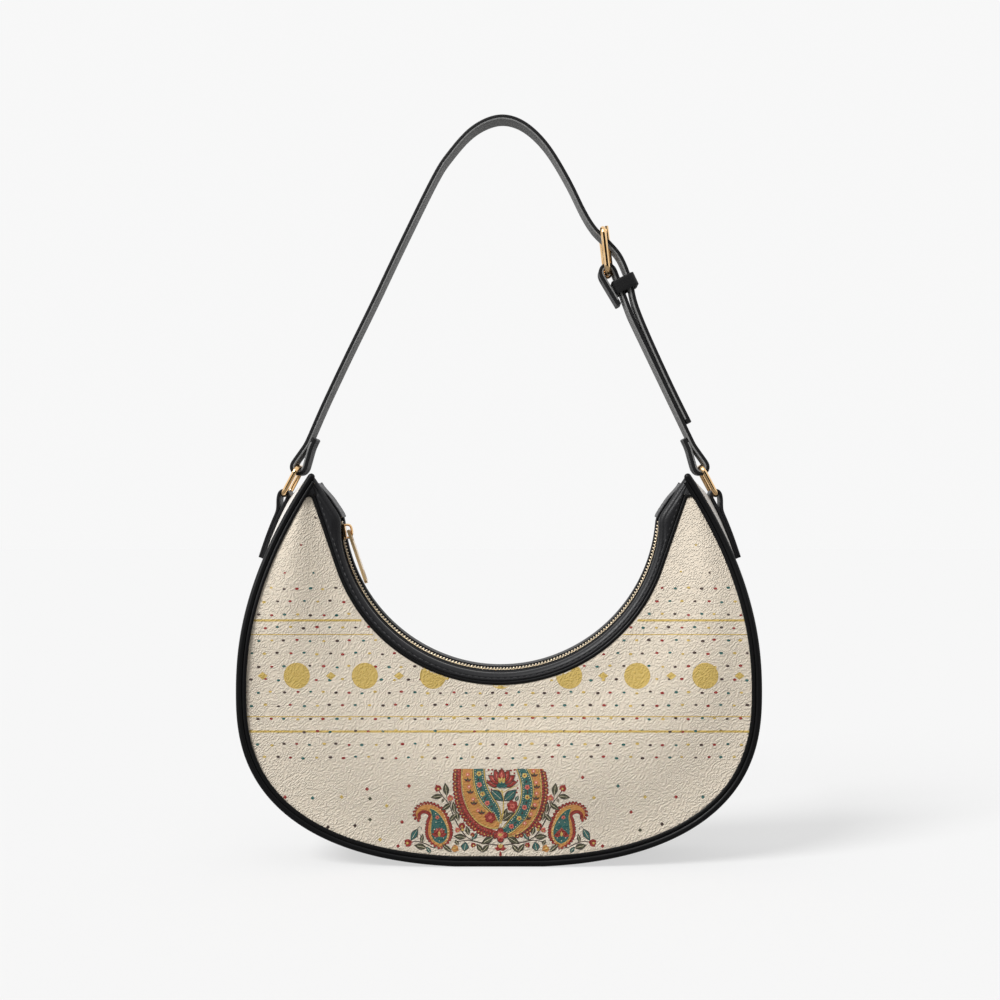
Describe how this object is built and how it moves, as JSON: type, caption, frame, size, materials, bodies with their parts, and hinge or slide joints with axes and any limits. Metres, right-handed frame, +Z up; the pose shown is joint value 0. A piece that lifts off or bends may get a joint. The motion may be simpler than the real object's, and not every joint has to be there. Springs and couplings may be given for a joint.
{
  "type": "half moon bag",
  "caption": "Crescent shoulder bag with a curved zip along its mouth and an adjustable leather strap on two metal rings.",
  "frame": {"origin": "on the floor, under the middle of the bag", "axes": "+Z up, the front panel faces -Y, +X to the right seen from the front"},
  "size_m": [0.317, 0.0646, 0.4568],
  "materials": {
    "panel_leather": "pebbled cream leather, satin",
    "gusset_leather": "smooth pale leather, satin",
    "piping_leather": "black leather piping, semi gloss",
    "trim_leather": "black leather, semi gloss, stitched",
    "strap_leather": "black leather, satin, painted edges",
    "zip_tape_cloth": "black woven tape",
    "lining_cloth": "black woven lining",
    "stiffener_board": "matte bonded board",
    "zip_metal": "polished gold coloured metal",
    "gold_metal": "polished gold coloured metal"
  },
  "bodies": {
    "bag": {"front_panel": "panel_leather", "back_panel": "panel_leather", "gusset": "gusset_leather", "front_piping": "piping_leather", "back_piping": "piping_leather", "front_mouth_facing": "trim_leather", "back_mouth_facing": "trim_leather", "front_mouth_piping": "piping_leather", "back_mouth_piping": "piping_leather", "front_zip_tape": "zip_tape_cloth", "back_zip_tape": "zip_tape_cloth", "front_zip_teeth": "zip_metal", "back_zip_teeth": "zip_metal", "zip_stops": "zip_metal", "left_zip_end_tab": "trim_leather", "right_zip_end_tab": "trim_leather", "front_lining": "lining_cloth", "back_lining": "lining_cloth", "gusset_lining": "lining_cloth", "base_stiffener": "stiffener_board", "left_ring_tab": "trim_leather", "right_ring_tab": "trim_leather"},
    "slider": {"zip_slider_body": "gold_metal", "zip_slider_crown": "gold_metal"},
    "puller": {"zip_puller": "gold_metal"},
    "ring_left": {"left_ring": "gold_metal"},
    "ring_right": {"right_ring": "gold_metal"},
    "strap": {"long_strap": "strap_leather", "short_strap": "strap_leather"},
    "buckle": {"buckle_frame": "gold_metal"},
    "tongue": {"buckle_tongue": "gold_metal"},
    "keeper": {"strap_keeper": "strap_leather"}
  },
  "joints": [
    {"name": "zip_run", "type": "hinge", "parent": "bag", "child": "slider", "pos_m": [0, 0, 0.2136], "axis": [0, -1, 0], "range_deg": [0, 164]},
    {"name": "puller_swing", "type": "hinge", "parent": "slider", "child": "puller", "pos_m": [-0.09358, 0, 0.20078], "axis": [0, -1, 0], "range_deg": [-3, 150]},
    {"name": "left_ring_tilt", "type": "hinge", "parent": "bag", "child": "ring_left", "pos_m": [-0.13273, 0, 0.22321], "axis": [0, 1, 0], "range_deg": [-10, 10]},
    {"name": "strap_sway", "type": "hinge", "parent": "ring_left", "child": "strap", "pos_m": [-0.12374, 0, 0.24018], "axis": [0, 1, 0], "range_deg": [-11, 11]},
    {"name": "right_ring_tilt", "type": "hinge", "parent": "bag", "child": "ring_right", "pos_m": [0.13273, 0, 0.22321], "axis": [0, 1, 0], "range_deg": [-10, 10]},
    {"name": "buckle_rock", "type": "hinge", "parent": "strap", "child": "buckle", "pos_m": [0.06628, 0, 0.36012], "axis": [0, 1, 0], "range_deg": [0, 0.8]},
    {"name": "tongue_lift", "type": "hinge", "parent": "buckle", "child": "tongue", "pos_m": [0.06628, 0, 0.36012], "axis": [0, 1, 0], "range_deg": [0, 0.8]},
    {"name": "keeper_shift", "type": "slide", "parent": "strap", "child": "keeper", "axis": [0.4321, 0, -0.9018], "range_m": [-0.0005, 0.0025]}
  ],
  "couplings": [
    {"joint": "strap_sway", "follows": "left_ring_tilt", "ratio": -1.0726},
    {"joint": "right_ring_tilt", "follows": "left_ring_tilt", "ratio": 1}
  ]
}
